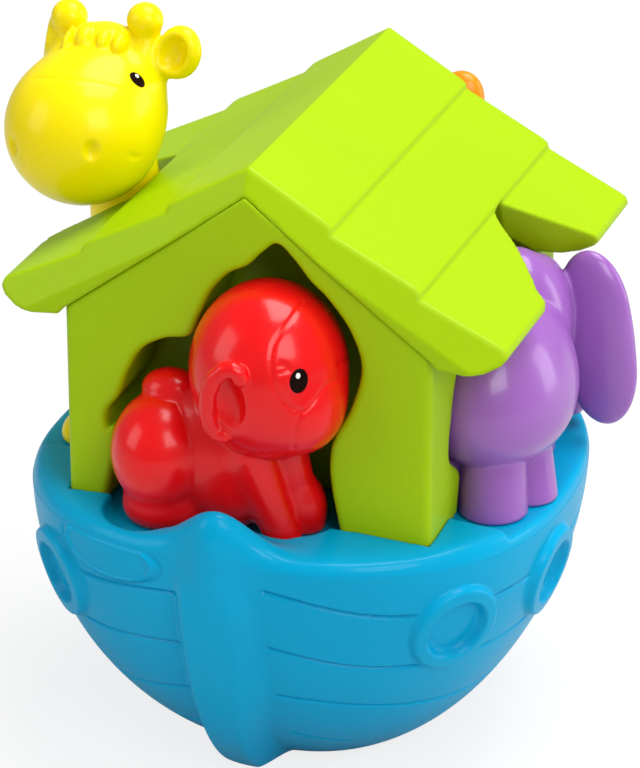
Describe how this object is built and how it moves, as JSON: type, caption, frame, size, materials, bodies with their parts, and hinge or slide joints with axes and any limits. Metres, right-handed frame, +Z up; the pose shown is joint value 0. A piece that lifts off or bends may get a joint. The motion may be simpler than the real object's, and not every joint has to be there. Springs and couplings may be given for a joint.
{
  "type": "toy ark with lift-out animals",
  "caption": "Toddler's toy ark: a boat hull and planked-roof house whose side pockets hold chunky soft animals that slide out.",
  "frame": {"origin": "centre of the hull's flat bottom face, directly under the middle of the house, on the surface the toy stands on", "axes": "+Z up through the roof; -Y towards the front with the monkey and the bow post; +X towards the elephant's side"},
  "size_m": [0.1869, 0.186, 0.2169],
  "materials": {
    "hull_blue": "moulded, satin",
    "house_green": "moulded, satin",
    "monkey_red": "soft moulded, glossy",
    "elephant_purple": "soft moulded, glossy",
    "giraffe_yellow": "soft moulded, glossy",
    "lion_orange": "soft moulded, glossy",
    "screw_steel": "zinc plated"
  },
  "bodies": {
    "ark": {"hull": "hull_blue", "deck": "hull_blue", "house_walls": "house_green", "roof": "house_green", "base_screws": "screw_steel"},
    "monkey_body": {"monkey": "monkey_red", "monkey_plug": "monkey_red"},
    "elephant_body": {"elephant": "elephant_purple", "elephant_plug": "elephant_purple"},
    "giraffe_body": {"giraffe": "giraffe_yellow", "giraffe_plug": "giraffe_yellow"},
    "lion_body": {"lion": "lion_orange", "lion_plug": "lion_orange"}
  },
  "joints": [
    {"name": "monkey_slide", "type": "slide", "parent": "ark", "child": "monkey_body", "axis": [0, -0.8192, 0.5735], "range_m": [0, 0.1]},
    {"name": "elephant_slide", "type": "slide", "parent": "ark", "child": "elephant_body", "axis": [0.9889, 0, 0.1483], "range_m": [0, 0.1]},
    {"name": "giraffe_slide", "type": "slide", "parent": "ark", "child": "giraffe_body", "axis": [-0.9119, 0, 0.4104], "range_m": [0, 0.1]},
    {"name": "lion_slide", "type": "slide", "parent": "ark", "child": "lion_body", "axis": [0, 0.9119, 0.4104], "range_m": [0, 0.1]}
  ]
}
